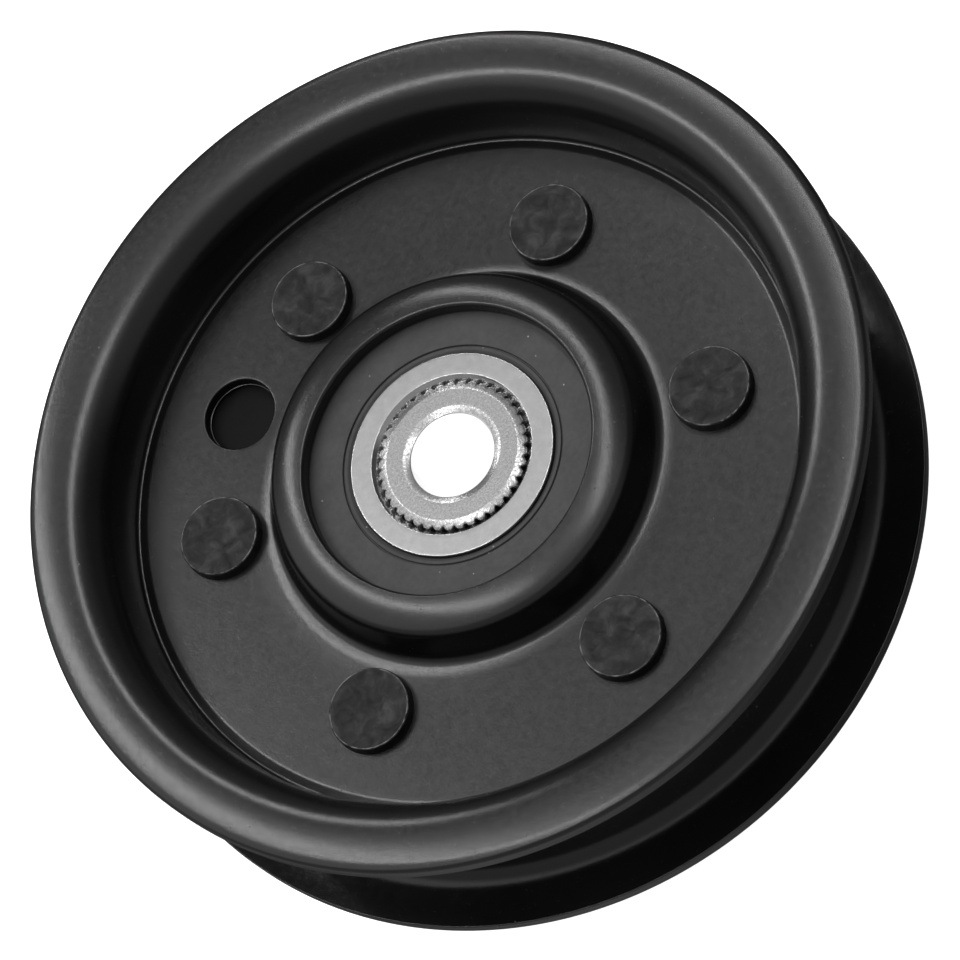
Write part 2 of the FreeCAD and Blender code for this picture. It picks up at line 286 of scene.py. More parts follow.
def soft_side(x, y):
    """1 on the side of the pressing that is softest, falling to 0 a quarter turn away."""
    return max(math.cos(math.atan2(y, x) - SOFT_SIDE_ANGLE), 0) ** 2


def hub_foot_spread(x, y, z):
    """Extra height where the sheet was drawn up softly at one side of the hub's foot."""
    beyond = max(math.hypot(x, y) - HUB_FOOT_SPREAD_R, 0)
    low = min(max((5 - z) / 2.5, 0), 1)
    reach = math.exp(-beyond / HUB_FOOT_SPREAD_REACH)
    return HUB_FOOT_SPREAD * soft_side(x, y) * low * reach


def flange_droop(x, y):
    """How far the flange's edge hangs lower on the same side."""
    beyond = max(math.hypot(x, y) - FLANGE_DROOP_R, 0)
    return FLANGE_DROOP * soft_side(x, y) * beyond ** 2 / (beyond + 1)


def lathe(profile, columns, closed=True):
    """Skin of an (r, z) profile turned about the axis."""
    skin = Skin()
    rings = [skin.circle(r, z, columns) for r, z in profile]
    skin.bridge_all(rings, closed)
    return skin


def show(name, skin, material, body, replaces):
    """Makes the piece, gives it its finish and hides the CAD node that it stands for."""
    mesh = bpy.data.meshes.new(name)
    mesh.from_pydata([tuple(v * MM for v in p) for p in skin.points], [], skin.faces)
    shell = bmesh.new()
    shell.from_mesh(mesh)
    bmesh.ops.recalc_face_normals(shell, faces=shell.faces)
    shell.to_mesh(mesh)
    shell.free()
    mesh.shade_smooth()
    mesh.set_sharp_from_angle(angle=SHARP_ANGLE)
    mesh.materials.append(material)
    piece = bpy.data.objects.new(name, mesh)
    bpy.context.scene.collection.objects.link(piece)
    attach(piece, body)
    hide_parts(replaces)
    return piece


# ---------------------------------------------------------------- material helpers
class Finish:
    """A Principled material in millimetre object coordinates, with nodes for its detail."""

    def __init__(self, name, color, metallic, roughness, specular=0.5):
        self.material = bpy.data.materials.new(name)
        self.material.use_nodes = True
        self.nodes = self.material.node_tree.nodes
        self.links = self.material.node_tree.links
        self.shader = self.nodes["Principled BSDF"]
        self.shader.inputs["Base Color"].default_value = (*color, 1)
        self.shader.inputs["Metallic"].default_value = metallic
        self.shader.inputs["Roughness"].default_value = roughness
        self.shader.inputs["Specular IOR Level"].default_value = specular
        texture = self.nodes.new("ShaderNodeTexCoord")
        scale = self.nodes.new("ShaderNodeVectorMath")
        scale.operation = "SCALE"
        scale.inputs["Scale"].default_value = 1 / MM
        self.links.new(texture.outputs["Object"], scale.inputs[0])
        self.place = scale.outputs["Vector"]

    def stretch(self, factors, turn=0.0):
        """Coordinates scaled along turned X and Y axes, for brushed or streaked detail."""
        node = self.nodes.new("ShaderNodeMapping")
        node.inputs["Rotation"].default_value = (0, 0, turn)
        node.inputs["Scale"].default_value = factors
        self.links.new(self.place, node.inputs["Vector"])
        return node.outputs["Vector"]

    def radius(self):
        """Distance from the spin axis, in millimetres."""
        flat = self.stretch((1, 1, 0))
        node = self.nodes.new("ShaderNodeVectorMath")
        node.operation = "LENGTH"
        self.links.new(flat, node.inputs[0])
        return node.outputs["Value"]

    def along_rings(self, turns):
        """Coordinates whose detail runs in circles about the spin axis."""
        radius = self.radius()
        split = self.nodes.new("ShaderNodeSeparateXYZ")
        self.links.new(self.place, split.inputs["Vector"])
        angle = self.maths("ARCTAN2", split.outputs["Y"], split.outputs["X"])
        join = self.nodes.new("ShaderNodeCombineXYZ")
        self.links.new(radius, join.inputs["X"])
        self.links.new(self.maths("MULTIPLY", angle, turns), join.inputs["Y"])
        self.links.new(split.outputs["Z"], join.inputs["Z"])
        return join.outputs["Vector"]

    def connect(self, value, socket):
        """Sets the socket to a number or links it to another socket."""
        if isinstance(value, (int, float)):
            socket.default_value = value
        else:
            self.links.new(value, socket)

    def maths(self, operation, a, b):
        node = self.nodes.new("ShaderNodeMath")
        node.operation = operation
        self.connect(a, node.inputs[0])
        self.connect(b, node.inputs[1])
        return node.outputs["Value"]

    def noise(self, scale, detail=3.0, place=None, distortion=0.0, roughness=0.55):
        node = self.nodes.new("ShaderNodeTexNoise")
        node.inputs["Scale"].default_value = scale
        node.inputs["Detail"].default_value = detail
        node.inputs["Roughness"].default_value = roughness
        node.inputs["Distortion"].default_value = distortion
        self.links.new(place or self.place, node.inputs["Vector"])
        return node.outputs["Fac"]

    def ramp(self, value, *stops):
        """A ramp of (place, grey or colour) stops."""
        node = self.nodes.new("ShaderNodeValToRGB")
        elements = node.color_ramp.elements
        while len(elements) < len(stops):
            elements.new(1.0)
        for element, (place, tone) in zip(elements, stops):
            element.position = place
            element.color = (tone, tone, tone, 1) if isinstance(tone, (int, float)) else (*tone, 1)
        self.links.new(value, node.inputs["Fac"])
        return node.outputs["Color"]

    def mix(self, share, a, b):
        """Colour a where share is 0 and colour b where it is 1."""
        node = self.nodes.new("ShaderNodeMix")
        node.data_type = "RGBA"
        self.connect(share, node.inputs[0])
        for value, socket in ((a, node.inputs[6]), (b, node.inputs[7])):
            if isinstance(value, tuple):
                socket.default_value = (*value, 1)
            else:
                self.links.new(value, socket)
        return node.outputs[2]

    def specks(self, scale, share, size):
        """Mask of small separate dots: share of the cells hold one, size is its reach in a cell."""
        cells = self.nodes.new("ShaderNodeTexVoronoi")
        cells.inputs["Scale"].default_value = scale
        self.links.new(self.place, cells.inputs["Vector"])
        near = self.maths("LESS_THAN", cells.outputs["Distance"], size)
        split = self.nodes.new("ShaderNodeSeparateColor")
        self.links.new(cells.outputs["Color"], split.inputs["Color"])
        chosen = self.maths("LESS_THAN", split.outputs["Red"], share)
        return self.maths("MULTIPLY", near, chosen)

    def color(self, value):
        self.links.new(value, self.shader.inputs["Base Color"])

    def roughness(self, value):
        self.links.new(value, self.shader.inputs["Roughness"])

    def bump(self, height, distance):
        """Bump of that height in millimetres; later calls add to earlier ones."""
        node = self.nodes.new("ShaderNodeBump")
        node.inputs["Distance"].default_value = distance * MM
        self.links.new(height, node.inputs["Height"])
        earlier = self.shader.inputs["Normal"].links
        if earlier:
            self.links.new(earlier[0].from_socket, node.inputs["Normal"])
        self.links.new(node.outputs["Normal"], self.shader.inputs["Normal"])


# ---------------------------------------------------------------- materials
def black_ecoat():
    """Satin black electro-coat: orange peel, fine grain, uneven gloss, a few dust specks."""
    finish = Finish("black_ecoat", (0.008, 0.008, 0.008), 0.0, 0.24)
    cloud = finish.noise(0.07, 3)
    dust = finish.specks(0.55, 0.05, 0.06)
    body = finish.ramp(cloud, (0.3, 0.003), (0.7, 0.006))
    finish.color(finish.mix(dust, body, (0.09, 0.09, 0.09)))
    grain = finish.noise(1.3, 5, roughness=0.7)
    finish.roughness(finish.ramp(grain, (0.3, 0.20), (0.7, 0.28)))
    finish.bump(finish.noise(0.5, 2), 0.010)
    finish.bump(finish.noise(3.6, 3, roughness=0.7), 0.012)
    finish.bump(finish.noise(8.0, 2), 0.004)
    return finish.material


def painted_shade_coat():
    """The coat where the halves meet, darker and duller as painted shade in the hollow seen through
    the tooling hole, and blotchy.
    """
    finish = Finish("painted_shade_coat", (0.004, 0.004, 0.004), 0.0, 0.6, 0.08)
    blotches = finish.noise(0.5, 4)
    finish.color(finish.ramp(blotches, (0.35, 0.0015), (0.65, 0.006)))
    finish.roughness(finish.ramp(blotches, (0.3, 0.5), (0.7, 0.7)))
    finish.bump(finish.noise(2.5, 3), 0.006)
    return finish.material


def rivet_finish():
    """Blackened rivet steel: cloudy scale on the struck face, darker where the tool pressed, with
    painted shade darkening the sides of the heads.
    """
    finish = Finish("rivet_finish", (0.02, 0.02, 0.02), 0.0, 0.5, 0.12)
    clouds = finish.noise(0.5, 6, distortion=0.7, roughness=0.6)
    fine = finish.noise(3.0, 5, roughness=0.7)
    body = finish.ramp(clouds, (0.34, 0.009), (0.5, 0.020), (0.66, 0.040))
    chips = finish.ramp(fine, (0.60, 0.0), (0.72, 1.0))
    body = finish.mix(finish.maths("MULTIPLY", chips, 0.6), body, (0.055, 0.055, 0.055))
    # darkened by the tool's ring and spot, and by painted shade on the heads' sides
    pressed_and_side_shade = finish.nodes.new("ShaderNodeAttribute")
    pressed_and_side_shade.attribute_name = "pressed_and_side_shade"
    finish.color(finish.mix(pressed_and_side_shade.outputs["Fac"], body, (0.006, 0.006, 0.006)))
    finish.roughness(finish.ramp(clouds, (0.3, 0.60), (0.7, 0.42)))
    finish.bump(clouds, 0.03)
    finish.bump(fine, 0.008)
    return finish.material


def rivet_rim():
    """The worn edge of a rivet head, rubbed down to grey steel in places."""
    finish = Finish("rivet_rim", (0.1, 0.1, 0.1), 0.4, 0.42, 0.3)
    wear = finish.noise(0.9, 5)
    finish.color(finish.ramp(wear, (0.40, 0.015), (0.62, 0.14)))
    finish.roughness(finish.ramp(wear, (0.3, 0.5), (0.7, 0.36)))
    finish.bump(finish.noise(4.0, 3), 0.01)
    return finish.material


def seal_rubber():
    """Matt black nitrile rubber with a faint moulded texture and pale dust."""
    finish = Finish("seal_rubber", (0.045, 0.045, 0.045), 0.0, 0.7, 0.4)
    cloud = finish.noise(0.3, 4)
    dust = finish.specks(1.1, 0.1, 0.1)
    body = finish.ramp(cloud, (0.3, 0.036), (0.7, 0.048))
    finish.color(finish.mix(dust, body, (0.30, 0.30, 0.30)))
    finish.roughness(finish.ramp(finish.noise(2.0, 3), (0.3, 0.62), (0.7, 0.74)))
    finish.bump(finish.noise(6.0, 3), 0.008)
    return finish.material


def ground_steel():
    """Ground bearing steel: fine grinding circles, a few stray scratches and specks."""
    finish = Finish("bearing_steel", (0.5, 0.5, 0.5), 1.0, 0.2)
    circles = finish.noise(7.0, 3, finish.along_rings(3.0))
    stain = finish.noise(0.8, 4)
    pits = finish.specks(1.6, 0.08, 0.09)
    body = finish.ramp(stain, (0.3, 0.50), (0.7, 0.56))
    finish.color(finish.mix(pits, body, (0.30, 0.30, 0.30)))
    finish.roughness(finish.ramp(circles, (0.3, 0.16), (0.7, 0.22)))
    finish.bump(circles, 0.002)
    scratches = finish.noise(0.6, 2, finish.stretch((0.25, 14, 1), math.radians(38)))
    finish.bump(finish.ramp(scratches, (0.71, 0.0), (0.76, 1.0)), 0.0015)
    return finish.material


def sintered_steel():
    """Sintered sleeve: bright grains and dark pores under a burnished surface."""
    finish = Finish("sintered_steel", (0.55, 0.54, 0.52), 1.0, 0.38)
    grains = finish.noise(3.4, 4, roughness=0.7)
    pores = finish.specks(2.4, 0.35, 0.22)
    body = finish.ramp(grains, (0.32, 0.17), (0.5, 0.29), (0.68, 0.50))
    finish.color(finish.mix(pores, body, (0.22, 0.22, 0.21)))
    finish.roughness(finish.ramp(grains, (0.3, 0.36), (0.7, 0.20)))
    finish.bump(grains, 0.009)
    return finish.material


def burnished_bore():
    """The sleeve's bore, sized by a ball pushed through: bright, with fine lengthways lines."""
    finish = Finish("burnished_bore", (0.85, 0.85, 0.84), 1.0, 0.14)
    lines = finish.noise(2.0, 3, finish.stretch((1, 1, 0.08)))
    finish.color(finish.ramp(lines, (0.3, 0.80), (0.7, 0.90)))
    finish.roughness(finish.ramp(lines, (0.3, 0.10), (0.7, 0.18)))
    finish.bump(lines, 0.001)
    return finish.material


def ball_steel():
    """Polished bearing balls with the faintest lapping haze."""
    finish = Finish("ball_steel", (0.72, 0.72, 0.72), 1.0, 0.06)
    haze = finish.noise(1.2, 4)
    finish.roughness(finish.ramp(haze, (0.3, 0.05), (0.7, 0.11)))
    finish.color(finish.ramp(haze, (0.3, 0.68), (0.7, 0.75)))
    return finish.material


def cage_steel():
    """Cold-rolled sheet with fine rolling lines."""
    finish = Finish("cage_steel", (0.5, 0.5, 0.5), 1.0, 0.35)
    lines = finish.noise(1.2, 3, finish.stretch((0.3, 6, 1), 0.4))
    finish.color(finish.ramp(lines, (0.3, 0.42), (0.7, 0.55)))
    finish.roughness(finish.ramp(lines, (0.3, 0.3), (0.7, 0.42)))
    finish.bump(lines, 0.004)
    return finish.material


# ---------------------------------------------------------------- pressed halves
def flange_lines(half_width, offset):
    """Height at the axis and slope of the flange's rising and falling lines, moved inwards."""
    lean, fall = FLANGE_LEAN, FLANGE_FALL
    bend_takes = CROWN_BEND_R * (math.cos((lean - fall) / 2) / math.cos((lean + fall) / 2) - 1)
    crown_z = half_width + bend_takes
    rising = crown_z - offset / math.cos(lean) - CROWN_R * math.tan(lean), math.tan(lean)
    falling = crown_z - offset / math.cos(fall) + CROWN_R * math.tan(fall), -math.tan(fall)
    return rising, falling


def flange_root(half_width, offset):
    """Where the recess wall line meets the rising flange line, both moved to the belt side."""
    (height, slope), _ = flange_lines(half_width, offset)
    wall_r0 = WALL_R + offset / math.cos(WALL_DRAFT) - SHEET * math.tan(WALL_DRAFT)
    r = (wall_r0 + height * math.tan(WALL_DRAFT)) / (1 - slope * math.tan(WALL_DRAFT))
    return r, height + r * slope


def flange_crown(half_width, offset):
    """Where the rising flange line meets the falling one."""
    (rising_z, rising), (falling_z, falling) = flange_lines(half_width, offset)
    r = (falling_z - rising_z) / (rising - falling)
    return r, rising_z + r * rising


def on_falling_line(half_width, offset, r):
    _, (height, slope) = flange_lines(half_width, offset)
    return r, height + r * slope


def hub_corners():
    """Height where the hub's shoulder meets its side, and where the side meets the foot."""
    shoulder_z = HUB_CREST_Z - (HUB_R - HUB_CREST_TURN_R) * math.tan(HUB_SHOULDER_LEAN)
    opening = math.tan(HUB_DRAFT)
    slope = math.tan(HUB_FOOT_LEAN)
    side_r0 = HUB_R + shoulder_z * opening
    foot_z0 = SHEET + HUB_FOOT_R * slope
    foot_r = (side_r0 - foot_z0 * opening) / (1 - slope * opening)
    return shoulder_z, (foot_r, foot_z0 - foot_r * slope)


def half_outline(half_width):
    """Closed outline of a half: hub, web, recess wall and flange, and back along the belt side."""
    shoulder_z, foot = hub_corners()
    roll_r, roll_z = on_falling_line(half_width, 0, FLANGE_R - FLANGE_ROLL_WIDE)
    rim_z = roll_z - FLANGE_ROLL_WIDE * math.tan(FLANGE_ROLL)
    return outline([
        (LIP_R, HUB_CREST_Z, 0.45),
        (HUB_CREST_TURN_R, HUB_CREST_Z, HUB_CREST_R),
        (HUB_R, shoulder_z, HUB_SHOULDER_R),
        (*foot, HUB_FILLET_R),
        (HUB_FOOT_R, SHEET, HUB_FOOT_BEND_R),
        (WEB_STEP_R, SHEET, 1.5),
        (WALL_R, SHEET - WEB_STEP, 0.35),
        (*flange_root(half_width, 0), FLANGE_BEND_R),
        (*flange_crown(half_width, 0), CROWN_BEND_R),
        (roll_r, roll_z, FLANGE_ROLL_R),
        (FLANGE_R, rim_z, FLANGE_EDGE_R),
        (*on_falling_line(half_width, SHEET, FLANGE_R), 0.15),
        (*flange_crown(half_width, SHEET), CROWN_BEND_R - SHEET),
        (*flange_root(half_width, SHEET), FLANGE_BEND_R - SHEET),
        (WALL_R + SHEET, 0, 1.2),
        (BEARING_R, 0, 3.6),
        (BEARING_R, BEARING_HALF, 1.0),
        (LIP_R, BEARING_HALF, 0.2),
    ], arc_step=math.radians(4))


def patch_loop(rings, rows, columns):
    """Indices around a rectangular gap in the grid of rings."""
    low_row, high_row = rows
    first, last = columns
    loop = [rings[low_row][j] for j in range(first, last)]
    loop += [rings[i][last] for i in range(low_row, high_row)]
    loop += [rings[high_row][j] for j in range(last, first, -1)]
    loop += [rings[i][first] for i in range(high_row, low_row, -1)]
    return loop


def hole_profile():
    """Punched hole from its rolled front edge, past a small ledge, down to the back surface."""
    rolled = 0.22
    ledge_z = 0.55
    ledge = 0.10
    edge = arc_points((TOOLING_HOLE_R + rolled, SHEET - rolled),
                      (TOOLING_HOLE_R + rolled, SHEET),
                      (TOOLING_HOLE_R, SHEET - rolled), math.radians(15))
    wall = [(TOOLING_HOLE_R, z) for z in (1.4, 1.0, ledge_z + 0.08)]
    step = [(TOOLING_HOLE_R - 0.03, ledge_z + 0.02), (TOOLING_HOLE_R - ledge, ledge_z),
            (TOOLING_HOLE_R - ledge, ledge_z - 0.05), (TOOLING_HOLE_R, ledge_z - 0.12)]
    return edge + wall + step + [(TOOLING_HOLE_R + 0.1, 0.02), (TOOLING_HOLE_R + 0.1, 0.0)]


def pressed_half(half_width):
    """Closed skin of a half facing the front, with the tooling hole cut through its web."""
    profile = half_outline(half_width)
    skin = Skin()
    rings = [skin.circle(r, z, HALF_COLUMNS) for r, z in profile]
    inner_gap = TOOLING_HOLE_AT - HOLE_PATCH[0]
    outer_gap = TOOLING_HOLE_AT + HOLE_PATCH[1]
    half_gap = HOLE_PATCH_ANGLE / 360 * HALF_COLUMNS
    middle = TOOLING_HOLE_ANGLE / FULL_TURN * HALF_COLUMNS
    columns = (round(middle - half_gap), round(middle + half_gap))
    gaps = []
    for level in (SHEET, 0.0):
        inside = [i for i, (r, z) in enumerate(profile)
                  if abs(z - level) < TOUCH and inner_gap < r < outer_gap]
        gaps.append((min(inside), max(inside)))
    for i, ring in enumerate(rings):
        in_gap = any(low <= i < high for low, high in gaps)
        skipped = range(*columns) if in_gap else ()
        skin.bridge(ring, rings[(i + 1) % len(rings)], skipped)
    front = patch_loop(rings, gaps[0], columns)
    back = patch_loop(rings, gaps[1], columns)
    back = match_loop(skin, back, front)
    centre = Vector((TOOLING_HOLE_AT * math.cos(TOOLING_HOLE_ANGLE),
                     TOOLING_HOLE_AT * math.sin(TOOLING_HOLE_ANGLE), 0))
    bearings = [math.atan2(skin.points[i][1] - centre.y, skin.points[i][0] - centre.x)
                for i in front]

    def hole_ring(r, z):
        return [Vector((centre.x + r * math.cos(a), centre.y + r * math.sin(a), z))
                for a in bearings]

    loops = [front]
    shape = hole_profile()
    for share in (0.2, 0.4, 0.6, 0.8):
        start = hole_ring(*shape[0])
        loops.append(skin.ring([Vector(skin.points[i]).lerp(p, share)
                                for i, p in zip(front, start)]))
    loops += [skin.ring(hole_ring(r, z)) for r, z in shape]
    end = hole_ring(*shape[-1])
    for share in (0.25, 0.5, 0.75):
        loops.append(skin.ring([p.lerp(Vector(skin.points[i]), share)
                                for i, p in zip(back, end)]))
    loops.append(back)
    for a, b in zip(loops, loops[1:]):
        skin.bridge(a, b)
    return skin


def match_loop(skin, loop, guide):
    """The loop's indices reordered so that each lies over the guide's point in turn."""
    flat = {}
    for i in loop:
        x, y, _ = skin.points[i]
        flat[(round(x, 3), round(y, 3))] = i
    return [flat[(round(skin.points[i][0], 3), round(skin.points[i][1], 3))] for i in guide]


# ---------------------------------------------------------------- rivets
def rivet_skin(centre, seed):
    """Both heads of a rivet: struck flat, slightly dished and pitted, with a thin raised rim."""
    rng = random.Random(seed)
    offset = Vector((rng.uniform(-50, 50), rng.uniform(-50, 50), 0))
    tilt = rng.uniform(0, FULL_TURN)
    lean = rng.uniform(0.002, 0.006)
    profile = [(0, RIVET_TOP)]
    profile += [(0.36 * i, RIVET_TOP) for i in range(1, 13)]
    profile += [(4.55, RIVET_TOP), (4.66, RIVET_TOP + 0.02), (4.74, RIVET_TOP + 0.02)]
    profile += [(4.82, RIVET_TOP - 0.05), (4.88, RIVET_TOP - 0.16), (4.9, RIVET_TOP - 0.35)]
    profile += [(4.9, 2.9), (4.93, 2.4), (4.98, SHEET + 0.05), (4.98, SHEET - 0.1)]
    head = lathe(profile, RIVET_COLUMNS, closed=False)
    skin = Skin()
    for side in (1, -1):
        first = len(skin.points)
        for x, y, z in head.points:
            r = math.hypot(x, y)
            flat = max(0.0, 1 - (r / RIVET_HEAD_R) ** 6)
            dish = -RIVET_DISH * max(0.0, 1 - (r / RIVET_DISH_R) ** 2)
            place = Vector((x, y, side * 7)) + offset
            lump = 0.07 * noise.noise(place * 0.55) + 0.035 * noise.noise(place * 1.6)
            beside = r - RIVET_GROOVE_R + 0.2 * noise.noise(place * 0.3)
            groove = -RIVET_GROOVE * math.exp(-(beside / 0.12) ** 2)
            slope = lean * (x * math.cos(tilt) + y * math.sin(tilt))
            up = z + flat * (dish + lump + groove) + slope * (z > 2.2)
            skin.points.append((x + centre[0], y + centre[1], side * up))
        skin.faces += [[i + first for i in face] for face in head.faces]
    return skin


# ---------------------------------------------------------------- bearing
def seal_skin():
    """Rubber seal: outer bead, flat face with a moulded line, and the lip on the inner race."""
    lip_z = SEAL_FACE_Z - SEAL_LIP_DEEP
    line_z = SEAL_FACE_Z - SEAL_LINE_DEEP
    profile = outline([
        (SEAL_BEAD_R, SEAL_BACK_Z, 0),
        (SEAL_BEAD_R, 5.3, 0),
        (SEAL_R, 5.42, 0),
        (SEAL_R, SEAL_FACE_Z, 0.1),
        (SEAL_LINE_R + 0.08, SEAL_FACE_Z, 0.05),
        (SEAL_LINE_R, line_z, 0),
        (SEAL_LINE_R - 0.1, line_z, 0),
        (SEAL_LINE_R - 0.2, SEAL_FACE_Z - 0.02, 0.04),
        (12.86, SEAL_FACE_Z - 0.08, 0.12),
        (INNER_LAND_R + 0.1, lip_z, 0.05),
        (INNER_LAND_R + 0.1, 5.2, 0),
        (11.7, 4.95, 0),
        (11.7, 4.7, 0),
        (12.9, 4.7, 0),
        (13.5, SEAL_BACK_Z, 0),
    ], arc_step=math.radians(20))
    return lathe(profile, SEAL_COLUMNS)


def inner_race_skin():
    """Inner ring with its ball groove, the seals' grooves and the relieved bore corners."""
    corner_z = BEARING_HALF - BORE_CORNER_DEEP
    groove_centre = BALL_PITCH_R - BALL_R - GROOVE_CLEARANCE + GROOVE_R
    groove_floor = (groove_centre - GROOVE_R, 0)
    half_width = math.sqrt(GROOVE_R ** 2 - (groove_centre - INNER_LAND_R) ** 2)
    top = [
        (BEARING_BORE_R, corner_z, 0.3),
        (BEARING_BORE_R + BORE_CORNER_WIDE, BEARING_HALF, 0.1),
        (INNER_LAND_R, BEARING_HALF, 0.1),
        (INNER_LAND_R, 5.3, 0),
        (11.6, 5.1, 0),
        (11.6, 4.5, 0),
        (INNER_LAND_R, 4.1, 0),
    ]
    bottom = [(r, -z, radius) for r, z, radius in reversed(top)]
    faces = outline(top + [(INNER_LAND_R, half_width, 0)], closed=False)
    groove = arc_points((groove_centre, 0), (INNER_LAND_R, half_width),
                        groove_floor, math.radians(7))
    groove += arc_points((groove_centre, 0), groove_floor,
                         (INNER_LAND_R, -half_width), math.radians(7))[1:]
    lower = outline([(INNER_LAND_R, -half_width, 0)] + bottom, closed=False)
    return lathe(faces + groove[1:-1] + lower, RACE_COLUMNS)


def tooth_radius(angle):
    """Radius of the serrated collar at an angle: rounded tips between V-shaped roots."""
    phase = (angle * COLLAR_TEETH / FULL_TURN) % 1
    rise = min(1.0, max(0.0, (abs(2 * phase - 1) - 0.08) / 0.62))
    return COLLAR_ROOT_R + (COLLAR_TIP_R - COLLAR_ROOT_R) * math.sin(rise * math.pi / 2)


def sleeve_skin():
    """Bolt sleeve: bore, chamfered mouth, front face and the serrated collar's teeth."""
    columns = COLLAR_TEETH * COLUMNS_PER_TOOTH
    angles = around(columns)
    seat_z = BEARING_HALF - BORE_CORNER_DEEP
    seat_z += (COLLAR_TIP_R - BEARING_BORE_R) * BORE_CORNER_DEEP / BORE_CORNER_WIDE
    slope = COLLAR_CHAMFER_DEEP / (COLLAR_TIP_R - COLLAR_FACE_R)
    plain = outline([
        (BEARING_BORE_R, seat_z, 0),
        (BEARING_BORE_R, -SLEEVE_HALF + 0.5, 0.1),
        (BEARING_BORE_R - 0.5, -SLEEVE_HALF, 0.1),
        (SLEEVE_MOUTH_R, -SLEEVE_HALF, 0.1),
        (BOLT_HOLE_R, -SLEEVE_HALF + SLEEVE_MOUTH_DEEP, 0.15),
        (BOLT_HOLE_R, SLEEVE_HALF - SLEEVE_MOUTH_DEEP, 0.15),
        (SLEEVE_MOUTH_R, SLEEVE_HALF, 0.12),
        (COLLAR_FACE_R, SLEEVE_HALF, 0),
    ], closed=False, arc_step=math.radians(12))
    plain[-1] = (COLLAR_FACE_R - 0.06, SLEEVE_HALF)
    skin = Skin()
    rings = [skin.circle(r, z, columns) for r, z in plain]
    chamfer_z = SLEEVE_HALF - SLEEVE_EDGE_ROLL
    rings.append(skin.circle(COLLAR_FACE_R, chamfer_z, columns))

    def tooth_ring(share, drop, shrink=0.0):
        points = []
        for a in angles:
            r = COLLAR_FACE_R + (tooth_radius(a) - shrink - COLLAR_FACE_R) * share
            z = chamfer_z - (r - COLLAR_FACE_R) * slope - drop
            points.append((r * math.cos(a), r * math.sin(a), z))
        return skin.ring(points)

    rings += [tooth_ring(share, 0, 0.05) for share in (0.34, 0.67, 1.0)]
    rings += [tooth_ring(1, 0.02, 0.015), tooth_ring(1, 0.08), tooth_ring(1, 0.3)]
    rings.append(skin.ring([(tooth_radius(a) * math.cos(a), tooth_radius(a) * math.sin(a), seat_z)
                            for a in angles]))
    skin.bridge_all(rings, closed=True)
    return skin


# ---------------------------------------------------------------- camera and light
AIM = Vector((0, 0, BEARING_HALF)) * MM
CAMERA_AZIMUTH = math.radians(2.68)
CAMERA_ELEVATION = math.radians(59.4)
CAMERA_ROLL = math.radians(45.86)
CAMERA_DISTANCE = 0.49503
CAMERA_SHIFT = (0.00328, -0.00299)      # metres right and up of the aim
LENS = 163.66
STRIP_DISTANCE = 2.0
STRIP_WIDTH = 0.11
STRIP_LENGTH = 2.6
STRIP_ALONG = (0, 0.90, -0.43)
STRIP_MIDDLE = (0, 0.43, 0.90)
STRIPS = (("strip_left", -0.262, 21.0), ("strip_right", 0.280, 18.5))
BORE_GLOW_R = 11.0
BORE_GLOW_RADIANCE = 1.15
ROOM_MIRRORED = (0, 0.51, 0.86)         # about where the flat web mirrors the room
ROOM_ASIDE = (1.0, 0.86, -0.51)
PALE_RADIANCE = 0.95
FLOOR_SIZE = 3.0
FLOOR_GAP = 0.00005


def camera_axes():
    """Right, up and back vectors of the camera."""
    a, e, roll = CAMERA_AZIMUTH, CAMERA_ELEVATION, CAMERA_ROLL
    back = Vector((math.sin(a) * math.cos(e), -math.cos(a) * math.cos(e), math.sin(e)))
    level = Vector((math.cos(a), math.sin(a), 0))
    rise = back.cross(level)
    right = level * math.cos(roll) - rise * math.sin(roll)
    return right, back.cross(right), back


def matrix_of(right, up, back, place):
    matrix = Matrix((right, up, back)).transposed().to_4x4()
    matrix.translation = place
    return matrix


def add_camera():
    right, up, back = camera_axes()
    data = bpy.data.cameras.new("camera")
    data.lens = LENS
    data.sensor_width = 36
    data.clip_start = 0.01
    camera = bpy.data.objects.new("camera", data)
    bpy.context.scene.collection.objects.link(camera)
    place = AIM + right * CAMERA_SHIFT[0] + up * CAMERA_SHIFT[1] + back * CAMERA_DISTANCE
    camera.matrix_world = matrix_of(right, up, back, place)
    bpy.context.scene.camera = camera


def facing_camera_azimuth(vector):
    """A direction given with the camera at azimuth 0, turned to the camera's real azimuth."""
    return Matrix.Rotation(CAMERA_AZIMUTH, 3, "Z") @ Vector(vector)


def add_strip(name, place, radiance):
    """Long narrow light at a place, facing the part."""
    data = bpy.data.lights.new(name, "AREA")
    data.shape = "RECTANGLE"
    data.size = STRIP_WIDTH
    data.size_y = STRIP_LENGTH
    data.energy = radiance * math.pi * STRIP_WIDTH * STRIP_LENGTH
    light = bpy.data.objects.new(name, data)
    bpy.context.scene.collection.objects.link(light)
    place = facing_camera_azimuth(place)
    up = facing_camera_azimuth(STRIP_ALONG).normalized()
    right = up.cross(place).normalized()
    light.matrix_world = matrix_of(right, up, right.cross(up), place)
    light.visible_camera = False


def add_lights():
    """Two long strip lights overhead, on either side of the direction the flat web mirrors."""
    middle = Vector(STRIP_MIDDLE) * STRIP_DISTANCE
    for name, aside, radiance in STRIPS:
        add_strip(name, middle + Vector((aside * STRIP_DISTANCE, 0, 0)), radiance)
    add_bore_glow()


def add_bore_glow():
    """The light table shining up through the bolt hole."""
    data = bpy.data.lights.new("bore_glow", "AREA")
    data.shape = "DISK"
    data.size = 2 * BORE_GLOW_R * MM
    data.energy = BORE_GLOW_RADIANCE * math.pi ** 2 * (BORE_GLOW_R * MM) ** 2
    light = bpy.data.objects.new("bore_glow", data)
    bpy.context.scene.collection.objects.link(light)
    light.rotation_euler = (math.pi, 0, 0)
    light.location = (0, 0, CAD_BOX[0].z)
    light.visible_camera = False


